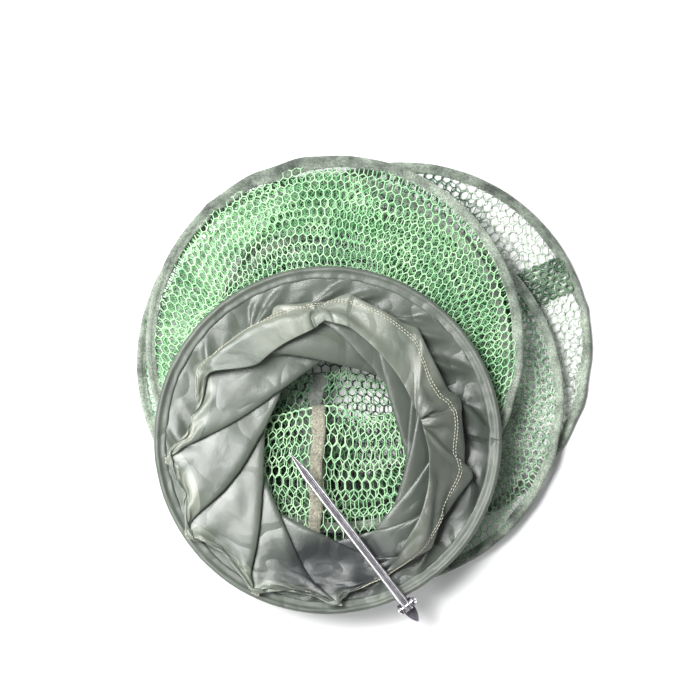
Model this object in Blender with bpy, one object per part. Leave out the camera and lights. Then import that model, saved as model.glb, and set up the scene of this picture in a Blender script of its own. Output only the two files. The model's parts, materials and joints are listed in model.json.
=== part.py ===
"""Folding crab trap, folded flat and resting on the ground.

Five sprung hoops lie fanned on top of each other.  Four bays of hexagonal netting and a bottom net
join them, a gathered fabric sleeve closes the mouth hoop down to a round mouth, and a folding ground
spike is clamped to the mouth hoop.  The origin is the middle of the bottom hoop, on the ground.
"""
import math

import bmesh
import bpy
from mathutils import Matrix, Vector

# Driving dimensions, in metres and degrees
HOOP_OUTER_RADIUS = 0.180
MOUTH_OUTER_RADIUS = 0.1645
HOOP_PITCH = 0.012
MOUTH_PITCH = 0.014
FAN_SHIFT = {
    "bottom": (0.0, 0.0),
    "lower": (0.056, 241.0),
    "middle": (0.078, 191.0),
    "upper": (0.067, 178.0),
    "mouth": (0.1155, 230.5),
}

WIRE_RADIUS = 0.0015
FERRULE_WALL = 0.0005
FERRULE_HALF_ARC = 4.0
TAPE_THICKNESS = 0.0006
TAPE_LIP = 0.0085
HEM_LIP = 0.0110
SLIT_HALF = 0.00025
GAP = 0.0003

NET_THICKNESS = 0.0022
SEAM_TAPE_WIDTH = 0.012
SEAM_TAPE_LENGTH = 0.200
SEAM_TAPE_THICKNESS = 0.0007
SEAM_BEARING = 265.0

MOUTH_RADIUS = 0.070
MOUTH_SHIFT = (-0.003, -0.0145)
SLEEVE_PROFILE = ((0.0, 0.0062), (0.2, 0.0083), (0.5, 0.0105), (0.8, 0.0108), (1.0, 0.0070))

PIVOT_BEARING = 295.3
PIVOT_DISTANCE = 0.1725
PIVOT_LIFT = 0.0095
SPIKE_HEADING = 127.4
SPIKE_TILT = 5.0
SPIKE_REACH = 0.182
SPIKE_TAPER = 0.026
SPIKE_WIDTH = 0.0095
SPIKE_HEIGHT = 0.0060
SPIKE_WALL = 0.0010

PLATE = 0.0015
EAR_HALF_WIDTH = 0.0045
EAR_INNER = 0.0060
CLAMP_HALF_WIDTH = 0.0050
TAIL_LENGTH = 0.019
BOLT_RADIUS = 0.0015
BOLT_HEAD_RADIUS = 0.0029
NUT_RADIUS = 0.0032
WASHER_RADIUS = 0.0032
WASHER_THICKNESS = 0.0006

# Sizes that follow from the driving ones
LEVELS = tuple(FAN_SHIFT)
RING_SIDES = 36
RING_STEP = 360.0 / RING_SIDES
FERRULE_BORE = WIRE_RADIUS + GAP
FERRULE_RADIUS = FERRULE_BORE + FERRULE_WALL
BINDING_BORE = FERRULE_RADIUS + GAP
BINDING_RADIUS = BINDING_BORE + TAPE_THICKNESS
CLEAR_OF_BINDING = BINDING_RADIUS + GAP
HINGE_BORE = BOLT_RADIUS + GAP

TAPE_GREEN = (0.30, 0.35, 0.28)
NET_GREEN = (0.36, 0.62, 0.39)
SEAM_BEIGE = (0.52, 0.50, 0.40)
SLEEVE_GREEN = (0.27, 0.31, 0.26)
SPRING_STEEL = (0.45, 0.45, 0.46)
CHROME = (0.72, 0.72, 0.74)
DARK_STEEL = (0.10, 0.09, 0.11)
ZINC = (0.60, 0.60, 0.62)


def clear_scene():
    """Remove everything the file opened with."""
    for old in list(bpy.data.objects):
        bpy.data.objects.remove(old, do_unlink=True)


def material(name, colour, roughness, metallic=0.0):
    """Principled material for one sub-part."""
    made = bpy.data.materials.new(name)
    made.use_nodes = True
    shader = made.node_tree.nodes["Principled BSDF"]
    shader.inputs["Base Color"].default_value = (*colour, 1.0)
    shader.inputs["Roughness"].default_value = roughness
    shader.inputs["Metallic"].default_value = metallic
    return made


def empty(name, matrix, parent=None):
    """Named frame that a body's pieces are parented to."""
    made = bpy.data.objects.new(name, None)
    bpy.context.scene.collection.objects.link(made)
    made.parent = parent
    made.matrix_local = matrix
    return made


def add_object(name, bm, parent, finish=None, smooth=True):
    """Turn a bmesh into a parented object with its faces pointing out."""
    bmesh.ops.recalc_face_normals(bm, faces=bm.faces)
    mesh = bpy.data.meshes.new(name)
    bm.to_mesh(mesh)
    bm.free()
    if smooth:
        mesh.shade_smooth()
        mesh.set_sharp_from_angle(angle=math.radians(40.0))
    made = bpy.data.objects.new(name, mesh)
    bpy.context.scene.collection.objects.link(made)
    made.parent = parent
    if finish:
        mesh.materials.append(finish)
    return made


def add_cutter(name, bm, parent):
    """Object that only serves a Boolean."""
    made = add_object(name, bm, parent, smooth=False)
    made.hide_render = True
    made.display_type = "WIRE"
    return made


def boolean(target, cutter, operation):
    """Exact Boolean left live on the target."""
    step = target.modifiers.new(operation.lower(), "BOOLEAN")
    step.operation = operation
    step.solver = "EXACT"
    step.object = cutter


def loft(rings, closed=False):
    """Skin through rings of equal point count: capped at both ends, or closed on itself."""
    bm = bmesh.new()
    layers = [[bm.verts.new(point) for point in ring] for ring in rings]
    pairs = list(zip(layers, layers[1:]))
    if closed:
        pairs.append((layers[-1], layers[0]))
    count = len(layers[0])
    for low, high in pairs:
        for i in range(count):
            j = (i + 1) % count
            bm.faces.new((low[i], low[j], high[j], high[i]))
    if not closed:
        bm.faces.new(layers[0])
        bm.faces.new(layers[-1])
    return bm


def prism(outline, low, high, along):
    """Closed prism of a flat outline; along names the axis that the outline is pushed along."""
    def place(point, level):
        if along == "y":
            return (point[0], level, point[1])
        return (point[0], point[1], level)
    return loft([[place(point, level) for point in outline] for level in (low, high)])


def arc(centre, radius, start, end, count):
    """Points on a circle from one bearing to another, both included."""
    points = []
    for i in range(count):
        angle = math.radians(start + (end - start) * i / (count - 1))
        points.append((centre[0] + radius * math.cos(angle), centre[1] + radius * math.sin(angle)))
    return points


def rod(radius, low, high, sides):
    """Closed cylinder along the hinge axis, the local y axis."""
    circle = arc((0.0, 0.0), radius, 0.0, 360.0 * (sides - 1) / sides, sides)
    return prism(circle, low, high, "y")


def hollow_rod(outer, bore, low, high, sides, bore_sides=16):
    """Washer, or nut, along the hinge axis: an outer prism with a round hole through it."""
    per_side = bore_sides // sides if sides < bore_sides else 1
    outer_ring = []
    for i in range(sides):
        start = 360.0 * i / sides
        corner = arc((0.0, 0.0), outer, start, start + 360.0 / sides, 2)
        for j in range(per_side):
            share = j / per_side
            outer_ring.append(tuple(a + (b - a) * share for a, b in zip(*corner)))
    count = len(outer_ring)
    bore_ring = arc((0.0, 0.0), bore, 0.0, 360.0 * (count - 1) / count, count)
    rings = []
    for ring, level in ((outer_ring, low), (outer_ring, high), (bore_ring, high), (bore_ring, low)):
        rings.append([(x, level, z) for x, z in ring])
    return loft(rings, closed=True)


def ring_point(radius, bearing):
    """Point on the many-sided ring that every piece of a hoop follows, so that nested pieces agree."""
    whole, share = divmod(bearing / RING_STEP, 1.0)
    start = math.radians(whole * RING_STEP)
    end = math.radians((whole + 1.0) * RING_STEP)
    x = radius * ((1.0 - share) * math.cos(start) + share * math.cos(end))
    y = radius * ((1.0 - share) * math.sin(start) + share * math.sin(end))
    return x, y


def section_at(section, radius, bearing):
    """Cross-section (outward, up) stood on the hoop's ring at one bearing."""
    placed = []
    for outward, up in section:
        x, y = ring_point(radius + outward, bearing)
        placed.append((x, y, up))
    return placed


def wire_circle(radius, sides=6):
    """Cross-section of a round wire or tube wall, with a corner straight up and one straight down."""
    return arc((0.0, 0.0), radius, 90.0, 90.0 - 360.0 * (sides - 1) / sides, sides)


def binding_section(lip):
    """Tape folded round the wire, with its two lips meeting inward around an open slit."""
    outside = arc((0.0, 0.0), BINDING_RADIUS, 150.0, -150.0, 6)
    inside = arc((0.0, 0.0), BINDING_BORE, -150.0, 150.0, 6)
    lip_height = SLIT_HALF + TAPE_THICKNESS
    return [(-lip, lip_height)] + outside + [(-lip, -lip_height), (-lip, -SLIT_HALF)] + inside + [(-lip, SLIT_HALF)]


def hoop_centre(level):
    """Where the middle of a hoop lies in the folded stack."""
    distance, bearing = FAN_SHIFT[level]
    index = LEVELS.index(level)
    height = BINDING_RADIUS + index * HOOP_PITCH
    if level == "mouth":
        height += MOUTH_PITCH - HOOP_PITCH
    angle = math.radians(bearing)
    return Vector((distance * math.cos(angle), distance * math.sin(angle), height))


def wire_ring_radius(level):
    """Radius of the wire's own centre line."""
    outer = MOUTH_OUTER_RADIUS if level == "mouth" else HOOP_OUTER_RADIUS
    return outer - BINDING_RADIUS


def inside_radius(level):
    """Radius that anything lying inside a hoop's binding stays within."""
    lip = HEM_LIP if level == "mouth" else TAPE_LIP
    return wire_ring_radius(level) - lip - GAP


def make_wire(level, frame, finish):
    """Spring-steel hoop wire, open by a hair where its two ends meet in the ferrule."""
    radius = wire_ring_radius(level)
    end = math.degrees(GAP / radius)
    bearings = [end] + [RING_STEP * i for i in range(1, RING_SIDES)] + [360.0 - end]
    rings = [section_at(wire_circle(WIRE_RADIUS), radius, bearing) for bearing in bearings]
    add_object(f"{level}_hoop_wire", loft(rings), frame, finish)


def make_ferrule(level, frame, finish):
    """Crimped sleeve over the two wire ends."""
    radius = wire_ring_radius(level)
    bearings = (-FERRULE_HALF_ARC, 0.0, FERRULE_HALF_ARC)
    outside = [section_at(wire_circle(FERRULE_RADIUS), radius, bearing) for bearing in bearings]
    bore = [section_at(wire_circle(FERRULE_BORE), radius, bearing) for bearing in bearings]
    add_object(f"{level}_hoop_ferrule", loft(outside + bore[::-1], closed=True), frame, finish)


def make_binding(level, frame, finish):
    """Woven tape, or at the mouth the sleeve's own hem, folded round the hoop."""
    lip = HEM_LIP if level == "mouth" else TAPE_LIP
    name = "mouth_hoop_hem" if level == "mouth" else f"{level}_hoop_binding"
    radius = wire_ring_radius(level)
    rings = [section_at(binding_section(lip), radius, RING_STEP * i) for i in range(RING_SIDES)]
    add_object(name, loft(rings, closed=True), frame, finish)


def net_outline(radius, centre, height):
    """One level line of a net bay."""
    outline = []
    for i in range(RING_SIDES):
        x, y = ring_point(radius, RING_STEP * i)
        outline.append((centre.x + x, centre.y + y, height))
    return outline


def make_bottom_net(frame, finish):
    """Netting stretched across the bottom hoop, lying on the ground."""
    radius = inside_radius("bottom")
    ground = -BINDING_RADIUS
    rings = [net_outline(radius, Vector(), height) for height in (ground, ground + NET_THICKNESS)]
    add_object("bottom_net", loft(rings), frame, finish, smooth=False)


def make_net_bay(level, above, frame, finish):
    """Folded netting between two hoops: a low drum that leans from the one hoop to the other."""
    lean = hoop_centre(above) - hoop_centre(level)
    upright = Vector((lean.x, lean.y, 0.0))
    top = lean.z - SEAM_TAPE_THICKNESS - 2.0 * GAP
    rings = [
        net_outline(inside_radius(level), Vector(), GAP),
        net_outline(inside_radius(level), Vector(), CLEAR_OF_BINDING),
        net_outline(inside_radius(above), upright, lean.z - CLEAR_OF_BINDING),
        net_outline(inside_radius(above), upright, top - GAP),
    ]
    add_object(f"{above}_net_bay", loft(rings), frame, finish, smooth=False)


def make_seam_tape(level, above, frame, finish):
    """Tape over the bay's closing seam, lying inward from the upper hoop on the folded netting."""
    lean = hoop_centre(above) - hoop_centre(level)
    angle = math.radians(SEAM_BEARING)
    outward = Vector((math.cos(angle), math.sin(angle), 0.0))
    across = Vector((-outward.y, outward.x, 0.0)) * (SEAM_TAPE_WIDTH / 2.0)
    reach = inside_radius(above) * math.cos(math.radians(RING_STEP / 2.0)) - 2.0 * GAP
    top = lean.z - 2.0 * GAP
    rings = []
    for height in (top - SEAM_TAPE_THICKNESS, top):
        middle = Vector((lean.x, lean.y, height))
        start = middle + outward * reach
        end = middle + outward * (reach - SEAM_TAPE_LENGTH)
        rings.append([start - across, start + across, end + across, end - across])
    add_object(f"{above}_seam_tape", loft(rings), frame, finish, smooth=False)


def make_sleeve(frame, finish):
    """Gathered fabric sleeve between the mouth hoop and the round mouth, higher in its middle."""
    outer_radius = inside_radius("mouth")
    profile = list(SLEEVE_PROFILE) + [(1.0, GAP), (0.0, GAP)]
    rings = []
    for inward, height in profile:
        radius = outer_radius + (MOUTH_RADIUS - outer_radius) * inward
        centre = Vector((MOUTH_SHIFT[0] * inward, MOUTH_SHIFT[1] * inward, 0.0))
        rings.append(net_outline(radius, centre, height))
    add_object("mouth_sleeve", loft(rings, closed=True), frame, finish)


def spike_outline(half_width, heel, tip, taper):
    """Plan of the spike: straight sides that run in to a point."""
    shoulder = tip - taper
    near_tip = tip - taper * 0.3
    return [
        (heel, -half_width),
        (shoulder, -half_width),
        (near_tip, -half_width * 0.45),
        (tip, 0.0),
        (near_tip, half_width * 0.45),
        (shoulder, half_width),
        (heel, half_width),
    ]


def make_spike(frame, finish):
    """Channel-section spike, open side up, with a round heel and a hole for the hinge bolt."""
    half_width = SPIKE_WIDTH / 2.0
    half_height = SPIKE_HEIGHT / 2.0
    heel_centre = (-0.0025, 0.0)
    side = arc(heel_centre, half_height, 90.0, 270.0, 9)
    side += [(SPIKE_REACH + GAP, -half_height), (SPIKE_REACH + GAP, -half_height * 0.4)]
    side += [(SPIKE_REACH - SPIKE_TAPER, half_height)]
    spike = add_object("spike_blade", prism(side, -half_width, half_width, "y"), frame, finish)

    plan = spike_outline(half_width, -0.02, SPIKE_REACH, SPIKE_TAPER)
    boolean(spike, add_cutter("spike_plan", prism(plan, -0.02, 0.02, "z"), frame), "INTERSECT")

    groove_half = half_width - SPIKE_WALL
    groove = spike_outline(groove_half, -0.02, SPIKE_REACH - 3.0 * SPIKE_WALL, SPIKE_TAPER)
    floor = -half_height + SPIKE_WALL
    boolean(spike, add_cutter("spike_groove", prism(groove, floor, 0.02, "z"), frame), "DIFFERENCE")
    boolean(spike, add_cutter("spike_bore", rod(HINGE_BORE, -0.02, 0.02, 16), frame), "DIFFERENCE")


def hoop_under_pivot():
    """Distance from the pivot in to the mouth hoop's wire, along the spike's heading."""
    skew = math.radians(PIVOT_BEARING - 180.0 - SPIKE_HEADING)
    return (PIVOT_DISTANCE - wire_ring_radius("mouth")) / math.cos(skew)


def make_bracket(frame, finish):
    """Folded plate that hooks round the mouth hoop and carries the spike between two ears."""
    wire_x = hoop_under_pivot()
    hook_half = CLEAR_OF_BINDING
    skew_room = 0.0012
    back_inner = wire_x - BINDING_RADIUS - skew_room - GAP
    back_outer = back_inner - PLATE
    lip_end = wire_x + BINDING_RADIUS + 0.001
    low = -PIVOT_LIFT - hook_half - PLATE
    floor_top = low + PLATE
    top_low = -PIVOT_LIFT + hook_half
    top_high = top_low + PLATE
    clamp = [
        (-EAR_HALF_WIDTH, low),
        (lip_end, low),
        (lip_end, floor_top),
        (back_inner, floor_top),
        (back_inner, top_low),
        (lip_end, top_low),
        (lip_end, top_high),
        (back_outer, top_high),
        (back_outer, floor_top),
        (-EAR_HALF_WIDTH, floor_top),
    ]
    bracket = add_object("spike_bracket", prism(clamp, -CLAMP_HALF_WIDTH, CLAMP_HALF_WIDTH, "y"), frame, finish)

    ear = arc((0.0, 0.0), EAR_HALF_WIDTH, 0.0, 180.0, 11) + [(-EAR_HALF_WIDTH, low), (EAR_HALF_WIDTH, low)]
    for side, name in ((-1.0, "left"), (1.0, "right")):
        faces = sorted((side * EAR_INNER, side * (EAR_INNER + PLATE)))
        boolean(bracket, add_cutter(f"ear_{name}", prism(ear, faces[0], faces[1], "y"), frame), "UNION")

    floor_half = EAR_INNER + PLATE / 2.0
    floor = [(-EAR_HALF_WIDTH + GAP, -floor_half), (EAR_HALF_WIDTH - GAP, -floor_half)]
    floor += [(EAR_HALF_WIDTH - GAP, floor_half), (-EAR_HALF_WIDTH + GAP, floor_half)]
    boolean(bracket, add_cutter("ear_floor", prism(floor, low, floor_top, "z"), frame), "UNION")

    leaf_half = EAR_INNER - GAP
    leaf = [(-0.002, leaf_half)]
    for i in range(9):
        share = i / 8.0
        width = leaf_half * math.cos(share * math.pi / 2.0) ** 0.7
        leaf.append((-EAR_HALF_WIDTH - (TAIL_LENGTH - EAR_HALF_WIDTH) * share, max(width, 0.0004)))
    leaf += [(x, -y) for x, y in reversed(leaf)]
    boolean(bracket, add_cutter("leaf_tail", prism(leaf, low, floor_top, "z"), frame), "UNION")
    boolean(bracket, add_cutter("ear_bore", rod(HINGE_BORE, -0.02, 0.02, 16), frame), "DIFFERENCE")


def make_bolt(frame, finish):
    """Hinge bolt: a domed head outside one ear and a shank through to the nut."""
    head_low = EAR_INNER + PLATE + GAP
    tail = -(EAR_INNER + PLATE + 0.0036)
    profile = [
        (BOLT_RADIUS * 0.7, tail),
        (BOLT_RADIUS, tail + 0.0004),
        (BOLT_RADIUS, head_low),
        (BOLT_HEAD_RADIUS, head_low),
        (BOLT_HEAD_RADIUS * 0.92, head_low + 0.0009),
        (BOLT_HEAD_RADIUS * 0.55, head_low + 0.0016),
    ]
    rings = []
    for radius, along in profile:
        rings.append([(x, along, z) for x, z in wire_circle(radius, sides=16)])
    add_object("pivot_bolt", loft(rings), frame, finish)


def make_nut_and_washers(frame, finish):
    """Hexagon nut outside the other ear, and a washer on each side of the spike."""
    nut_high = -(EAR_INNER + PLATE + GAP)
    add_object("pivot_nut", hollow_rod(NUT_RADIUS, HINGE_BORE, nut_high - 0.0024, nut_high, 6), frame, finish)
    middle = (SPIKE_WIDTH / 2.0 + EAR_INNER) / 2.0
    for side, name in ((-1.0, "left"), (1.0, "right")):
        low = side * middle - WASHER_THICKNESS / 2.0
        high = side * middle + WASHER_THICKNESS / 2.0
        add_object(f"pivot_washer_{name}", hollow_rod(WASHER_RADIUS, HINGE_BORE, low, high, 16), frame, finish)


def make_spike_group(mouth_frame):
    """Ground spike, its bracket and the hinge between them."""
    bearing = math.radians(PIVOT_BEARING)
    place = Vector((PIVOT_DISTANCE * math.cos(bearing), PIVOT_DISTANCE * math.sin(bearing), PIVOT_LIFT))
    heading = Matrix.Rotation(math.radians(SPIKE_HEADING), 4, "Z")
    bracket_frame = empty("spike_bracket_frame", Matrix.Translation(place) @ heading, mouth_frame)
    tilt = Matrix.Rotation(math.radians(-SPIKE_TILT), 4, "Y")
    spike_frame = empty("spike_frame", tilt, bracket_frame)
    zinc = material("hinge_zinc", ZINC, 0.35, 1.0)
    make_bracket(bracket_frame, material("bracket_dark_steel", DARK_STEEL, 0.45, 0.8))
    make_bolt(bracket_frame, zinc)
    make_nut_and_washers(bracket_frame, zinc)
    make_spike(spike_frame, material("spike_chrome", CHROME, 0.18, 1.0))


def main():
    clear_scene()
    steel = material("hoop_spring_steel", SPRING_STEEL, 0.35, 1.0)
    crimp = material("ferrule_zinc", ZINC, 0.4, 1.0)
    tape = material("binding_tape", TAPE_GREEN, 0.85)
    netting = material("green_netting", NET_GREEN, 0.6)
    seam = material("beige_seam_tape", SEAM_BEIGE, 0.85)
    cloth = material("sleeve_nylon", SLEEVE_GREEN, 0.5)

    frames = {}
    for level in LEVELS:
        frames[level] = empty(f"{level}_hoop_frame", Matrix.Translation(hoop_centre(level)))
        make_wire(level, frames[level], steel)
        make_ferrule(level, frames[level], crimp)
        make_binding(level, frames[level], cloth if level == "mouth" else tape)
    make_bottom_net(frames["bottom"], netting)
    for level, above in zip(LEVELS, LEVELS[1:]):
        make_net_bay(level, above, frames[level], netting)
        make_seam_tape(level, above, frames[level], seam)
    make_sleeve(frames["mouth"], cloth)
    make_spike_group(frames["mouth"])


main()
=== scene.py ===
"""Looks of the folding crab trap: taped hoops, thread netting, a gathered nylon sleeve and a spike."""

import json
import math

import bpy
import numpy as np
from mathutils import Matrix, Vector, noise


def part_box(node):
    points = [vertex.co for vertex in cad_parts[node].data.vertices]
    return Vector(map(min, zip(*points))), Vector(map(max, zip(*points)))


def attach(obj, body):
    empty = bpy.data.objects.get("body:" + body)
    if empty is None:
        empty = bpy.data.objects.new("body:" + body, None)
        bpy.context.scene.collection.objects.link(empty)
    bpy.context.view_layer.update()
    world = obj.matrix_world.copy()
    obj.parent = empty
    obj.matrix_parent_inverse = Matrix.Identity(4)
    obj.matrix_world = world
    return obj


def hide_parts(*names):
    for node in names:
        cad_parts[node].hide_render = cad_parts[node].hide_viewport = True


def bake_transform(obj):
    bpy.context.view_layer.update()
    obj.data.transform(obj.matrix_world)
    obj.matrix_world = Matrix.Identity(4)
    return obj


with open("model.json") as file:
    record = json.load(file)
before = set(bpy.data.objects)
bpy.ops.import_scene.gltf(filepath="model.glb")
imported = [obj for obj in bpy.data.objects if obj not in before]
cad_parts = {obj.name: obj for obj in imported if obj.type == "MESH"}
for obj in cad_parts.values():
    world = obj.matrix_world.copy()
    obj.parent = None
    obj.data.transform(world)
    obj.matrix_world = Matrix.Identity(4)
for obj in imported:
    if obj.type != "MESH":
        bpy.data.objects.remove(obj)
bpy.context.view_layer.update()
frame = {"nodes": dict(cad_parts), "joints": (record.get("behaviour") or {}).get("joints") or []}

# Blender's vector noise starts from the clock unless it is given a number, so this keeps the crumple the same
CRUMPLE_DRAW = 1794975690
noise.seed_set(CRUMPLE_DRAW)

# Names and sizes, in metres and degrees, that the whole script shares
LEVELS = ("bottom", "lower", "middle", "upper", "mouth")
BODY = {level: f"{level}_hoop" for level in LEVELS}
BODY_OF_SPIKE = "spike"
TURN = 2.0 * math.pi
BAY_LENGTH = 0.200
CELL_WIDTH = 0.0090
THREAD_RADIUS = 0.00057
NET_EDGE_INSIDE_WIRE = 0.0048
SEAM_BEARING = 265.0
SEAM_WIDTH = 0.0125
SEAM_THICKNESS = 0.0007
TAPE_LIP = 0.0066
HEM_LIP = 0.0090
FOLD_FRONT = -0.062
ABOVE_FLOOR = 0.0002

# Strip where two widths of the bottom netting overlap
OVERLAP_BEARING = 25.0
OVERLAP_START = 0.100
OVERLAP_WIDTH = 0.030
OVERLAP_LAYERS = 6
OVERLAP_SQUEEZE = 0.70

# Sleeve: a tube of nylon from the mouth hoop, turned on itself, with a cuff that falls inward
SLEEVE_COLUMNS = 180
SLEEVE_ROWS = 41
CUFF_ROWS = 8
SLEEVE_LENGTH = 0.203
SLEEVE_TWIST = math.radians(80.0)
SLEEVE_EDGE_INSIDE_WIRE = 0.0073
SLEEVE_LIFT = 0.0008
SLEEVE_HEIGHT = 0.030
CUFF_WIDTH = 0.055
CUFF_TUCKED = 0.006
CUFF_FACING = math.radians(45.0)
FABRIC = 0.0005


def hoop(level):
    """Centre of a hoop and the radius of its wire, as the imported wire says."""
    low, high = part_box(f"{level}_hoop_wire")
    low, high = Vector(low), Vector(high)
    thickness = high.z - low.z
    return (low + high) / 2.0, (high.x - low.x) / 2.0 - thickness / 2.0


HOOPS = {level: hoop(level) for level in LEVELS}


def smooth(value):
    """Smooth step from 0 to 1."""
    value = np.clip(value, 0.0, 1.0)
    return value * value * (3.0 - 2.0 * value)


def there_and_back(share):
    """Even run out from 0 to 1 and back to 0, with a rounded turn."""
    roundness = 0.02
    return (math.sqrt(1.0 + roundness) - np.sqrt((1.0 - 2.0 * share) ** 2 + roundness)) / (
        math.sqrt(1.0 + roundness) - math.sqrt(roundness))


def unit(vectors):
    """Rows of vectors, each at length 1."""
    return vectors / np.maximum(np.linalg.norm(vectors, axis=-1, keepdims=True), 1e-12)


def away(angle, bearing):
    """Signed turn, in radians, from a bearing in degrees to an angle."""
    return (angle - math.radians(bearing) + math.pi) % TURN - math.pi


def wobble(angle, seed, low=2, high=6):
    """Slow random wave round a ring, about -1 to 1."""
    total = 0.0
    for count in range(low, high):
        phase = 7.3 * seed + 2.1 * count * count
        total = total + np.cos(count * angle + phase) / (high - low) ** 0.5
    return total


def ripple(angle, radius, size, seed):
    """Uneven ripple round a ring, about -1 to 1, that changes over the given size."""
    across, along = radius * math.cos(angle), radius * math.sin(angle)
    return noise.noise(Vector((across / size, along / size, 9.1 * seed)))


def crumple(points, size, amount, seed):
    """Random push for each point that changes over the given size."""
    shift = Vector((31.7 * seed, 17.3 * seed, 5.9 * seed))
    return np.array([noise.noise_vector(Vector(p) / size + shift) for p in points]) * amount


# ---- materials

class Finish:
    """A node material under construction, with short names for the nodes it uses."""

    def __init__(self, name, roughness, metallic=0.0):
        self.material = bpy.data.materials.new(name)
        self.material.use_nodes = True
        self.tree = self.material.node_tree
        self.shader = self.tree.nodes["Principled BSDF"]
        self.shader.inputs["Roughness"].default_value = roughness
        self.shader.inputs["Metallic"].default_value = metallic
        self.place = self.tree.nodes.new("ShaderNodeTexCoord").outputs["Object"]

    def set(self, value, socket):
        """Links a socket to another, or writes a number or colour on it."""
        if isinstance(value, bpy.types.NodeSocket):
            self.tree.links.new(value, socket)
        elif isinstance(value, tuple):
            socket.default_value = (*value, 1.0)
        else:
            socket.default_value = value

    def stretched(self, scale, shift=(0.0, 0.0, 0.0)):
        """The place on the object, scaled by one number for each axis and then shifted."""
        node = self.tree.nodes.new("ShaderNodeMapping")
        node.inputs["Scale"].default_value = scale
        node.inputs["Location"].default_value = shift
        self.set(self.place, node.inputs["Vector"])
        return node.outputs["Vector"]

    def flat_place(self):
        """The place on the flat cloth, in metres, that the mesh stores for each point."""
        node = self.tree.nodes.new("ShaderNodeAttribute")
        node.attribute_name = "flat_place"
        return node.outputs["Vector"]

    def noise(self, scale, detail=3.0, roughness=0.55, place=None):
        node = self.tree.nodes.new("ShaderNodeTexNoise")
        node.inputs["Scale"].default_value = scale
        node.inputs["Detail"].default_value = detail
        node.inputs["Roughness"].default_value = roughness
        self.set(place or self.place, node.inputs["Vector"])
        return node.outputs["Fac"]

    def wave(self, scale, direction, distortion=0.0, place=None):
        node = self.tree.nodes.new("ShaderNodeTexWave")
        node.bands_direction = direction
        node.inputs["Scale"].default_value = scale
        node.inputs["Distortion"].default_value = distortion
        self.set(place or self.place, node.inputs["Vector"])
        return node.outputs["Fac"]

    def ramp(self, value, stops):
        """Colour ramp with a stop for each (position, colour)."""
        node = self.tree.nodes.new("ShaderNodeValToRGB")
        points = node.color_ramp.elements
        while len(points) < len(stops):
            points.new(0.5)
        for point, (position, colour) in zip(points, stops):
            point.position = position
            point.color = (*colour, 1.0)
        self.set(value, node.inputs["Fac"])
        return node.outputs["Color"]

    def mix(self, amount, one, other, blend="MIX"):
        node = self.tree.nodes.new("ShaderNodeMix")
        node.data_type = "RGBA"
        node.blend_type = blend
        self.set(amount, node.inputs[0])
        self.set(one, node.inputs[6])
        self.set(other, node.inputs[7])
        return node.outputs[2]

    def maths(self, operation, one, other):
        node = self.tree.nodes.new("ShaderNodeMath")
        node.operation = operation
        self.set(one, node.inputs[0])
        self.set(other, node.inputs[1])
        return node.outputs[0]

    def spread(self, value, low, high):
        """A value from 0 to 1, spread from low to high."""
        node = self.tree.nodes.new("ShaderNodeMapRange")
        node.inputs["To Min"].default_value = low
        node.inputs["To Max"].default_value = high
        self.set(value, node.inputs["Value"])
        return node.outputs[0]

    def bump(self, height, strength, distance):
        node = self.tree.nodes.new("ShaderNodeBump")
        node.inputs["Strength"].default_value = strength
        node.inputs["Distance"].default_value = distance
        self.set(height, node.inputs["Height"])
        self.set(node.outputs["Normal"], self.shader.inputs["Normal"])

    def part(self, place, axis):
        """One coordinate of a place."""
        node = self.tree.nodes.new("ShaderNodeSeparateXYZ")
        self.set(place, node.inputs[0])
        return node.outputs[axis]

    def shade_painted(self, colour, painted_shades):
        """The colour, darkened about some points. These patches are invented painted shade: they stand for
        shade that the light doesn't give, and they stay in every pose. Each is (point, radii, fade, strength,
        colour)."""
        for point, radii, fade, strength, tint in painted_shades:
            size = tuple(1.0 / radius for radius in radii)
            spot = self.stretched((size[0], size[1], 0.0), (-point.x * size[0], -point.y * size[1], 0.0))
            gradient = self.tree.nodes.new("ShaderNodeTexGradient")
            gradient.gradient_type = "SPHERICAL"
            self.set(spot, gradient.inputs["Vector"])
            amount = self.ramp(gradient.outputs["Fac"], ((0.0, (0.0, 0.0, 0.0)), (fade, (strength,) * 3)))
            colour = self.mix(amount, colour, tint)
        return colour

    def colour(self, value):
        self.set(value, self.shader.inputs["Base Color"])

    def roughness(self, value):
        self.set(value, self.shader.inputs["Roughness"])


def woven_tape(name, dark, light):
    """Fuzzy woven tape: mottled along its length, with a fine weave and loose fibres."""
    made = Finish(name, 0.9)
    made.shader.inputs["Sheen Weight"].default_value = 0.25
    patches = made.mix(0.5, made.noise(9.0, 2.0), made.noise(60.0, 3.0))
    fibres = made.noise(620.0, 2.0, 0.7)
    weave = made.wave(900.0, "DIAGONAL", 1.5)
    base = made.ramp(patches, ((0.38, dark), (0.64, light)))
    flecks = made.ramp(fibres, ((0.40, (0.22, 0.22, 0.22)), (0.62, (0.90, 0.90, 0.90))))
    made.colour(made.mix(0.55, base, flecks, "OVERLAY"))
    made.bump(made.maths("ADD", fibres, made.maths("MULTIPLY", weave, 0.5)), 0.8, 0.0006)
    return made.material


def netting(name, deep, pale, painted_shades=()):
    """Knitted nylon thread with worn stretches, darker where shade is painted into its colour."""
    made = Finish(name, 0.5)
    made.shader.inputs["Sheen Weight"].default_value = 0.15
    colour = made.ramp(made.noise(38.0, 4.0, 0.6), ((0.38, deep), (0.62, pale)))
    made.colour(made.shade_painted(colour, painted_shades))
    return made.material


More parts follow.
